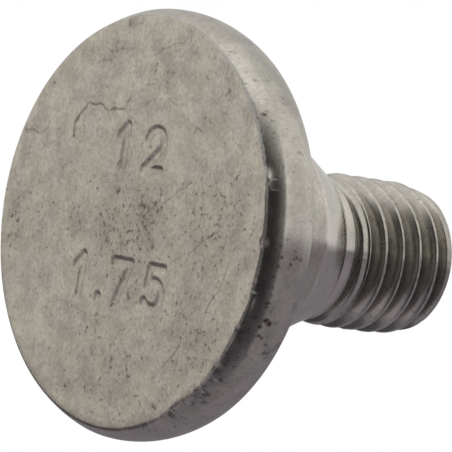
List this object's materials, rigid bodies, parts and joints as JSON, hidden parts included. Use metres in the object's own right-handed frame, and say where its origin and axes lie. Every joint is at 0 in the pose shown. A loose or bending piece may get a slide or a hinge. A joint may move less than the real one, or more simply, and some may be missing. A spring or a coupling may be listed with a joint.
{
  "type": "blade bolt",
  "caption": "Blade bolt with a broad flat round head, a plain shoulder and cone under it, and a short coarse right-hand thread.",
  "frame": {"origin": "centre of the head's flat face, which the bolt stands on", "axes": "+Z along the bolt's axis, from the flat face towards the end of the thread; +X and +Y are free, and set the direction in which the thread starts"},
  "size_m": [0.0324, 0.0324, 0.0282],
  "materials": {
    "steel": "dull grey plated steel, scuffed and speckled, with a few brown spots of rust"
  },
  "bodies": {
    "root": {"blade_bolt": "steel"}
  },
  "joints": []
}
